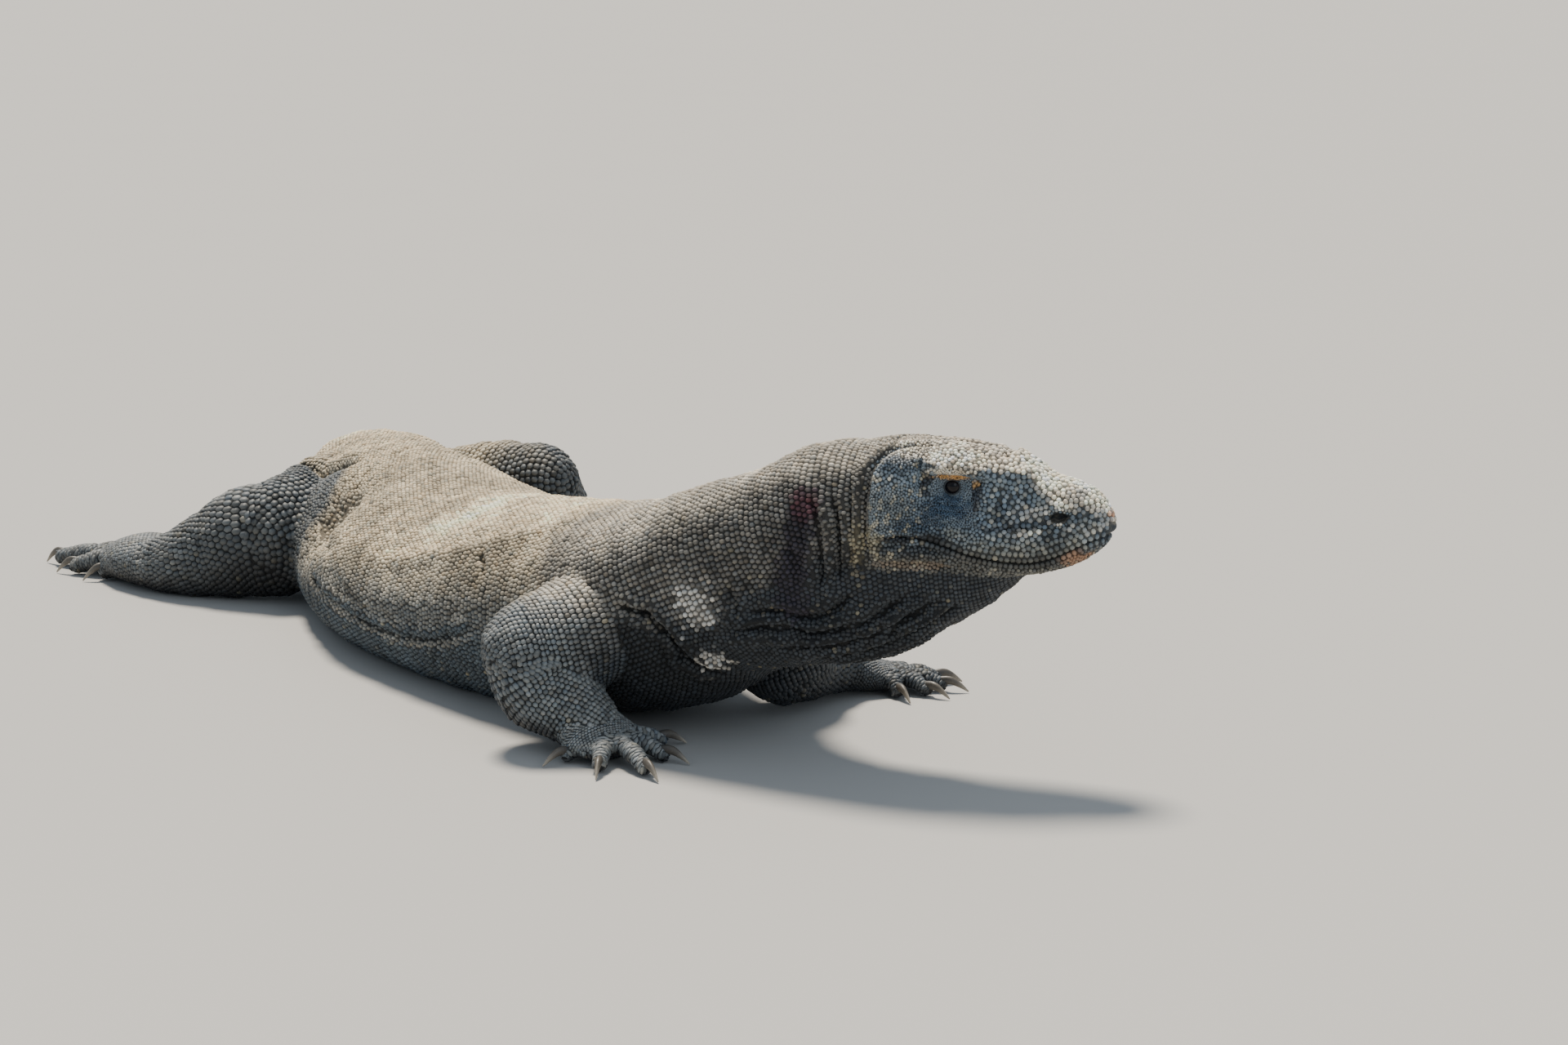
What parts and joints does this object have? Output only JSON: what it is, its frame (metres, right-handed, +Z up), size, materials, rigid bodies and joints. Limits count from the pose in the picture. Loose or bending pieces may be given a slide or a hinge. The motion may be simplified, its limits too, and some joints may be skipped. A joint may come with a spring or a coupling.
{
  "type": "komodo dragon",
  "caption": "Life-size lying komodo dragon with its head raised, legs spread and tail curled round behind it.",
  "frame": {"origin": "the floor under the middle of the animal's box", "axes": "+Z up; the head points along +X, turned about 13 degrees towards -Y; the trunk and tail curve away towards +Y"},
  "size_m": [1.2906, 1.4684, 0.337],
  "materials": {
    "trunk_skin": "dry, dusty, beaded scales, pale tan-grey on the back and darker below",
    "head_skin": "fine scales, slate grey with tan crown and ochre flecks",
    "limb_skin": "coarse overlapping scales, dark blue-grey with paler tips",
    "claw": "dark worn horn, paler at the tip",
    "eye": "wet, nearly black brown"
  },
  "bodies": {
    "root": {"head": "head_skin", "lower_jaw": "head_skin", "eye_right": "eye", "eye_left": "eye", "neck": "trunk_skin", "chest": "trunk_skin", "belly": "trunk_skin", "hips": "trunk_skin", "tail_1": "trunk_skin", "tail_2": "trunk_skin", "tail_3": "trunk_skin", "tail_4": "trunk_skin", "tail_5": "trunk_skin", "tail_6": "trunk_skin", "throat": "trunk_skin", "arm_right_upper": "limb_skin", "arm_right_lower": "limb_skin", "hand_right": "limb_skin", "hand_right_claw_1": "claw", "hand_right_claw_2": "claw", "hand_right_claw_3": "claw", "hand_right_claw_4": "claw", "hand_right_claw_5": "claw", "arm_left_upper": "limb_skin", "arm_left_lower": "limb_skin", "hand_left": "limb_skin", "hand_left_claw_1": "claw", "hand_left_claw_2": "claw", "hand_left_claw_3": "claw", "hand_left_claw_4": "claw", "hand_left_claw_5": "claw", "leg_right_upper": "limb_skin", "leg_right_lower": "limb_skin", "foot_right": "limb_skin", "foot_right_claw_1": "claw", "foot_right_claw_2": "claw", "foot_right_claw_3": "claw", "foot_right_claw_4": "claw", "foot_right_claw_5": "claw", "leg_left_upper": "limb_skin", "leg_left_lower": "limb_skin", "foot_left": "limb_skin", "foot_left_claw_1": "claw", "foot_left_claw_2": "claw", "foot_left_claw_3": "claw", "foot_left_claw_4": "claw", "foot_left_claw_5": "claw"}
  },
  "joints": []
}
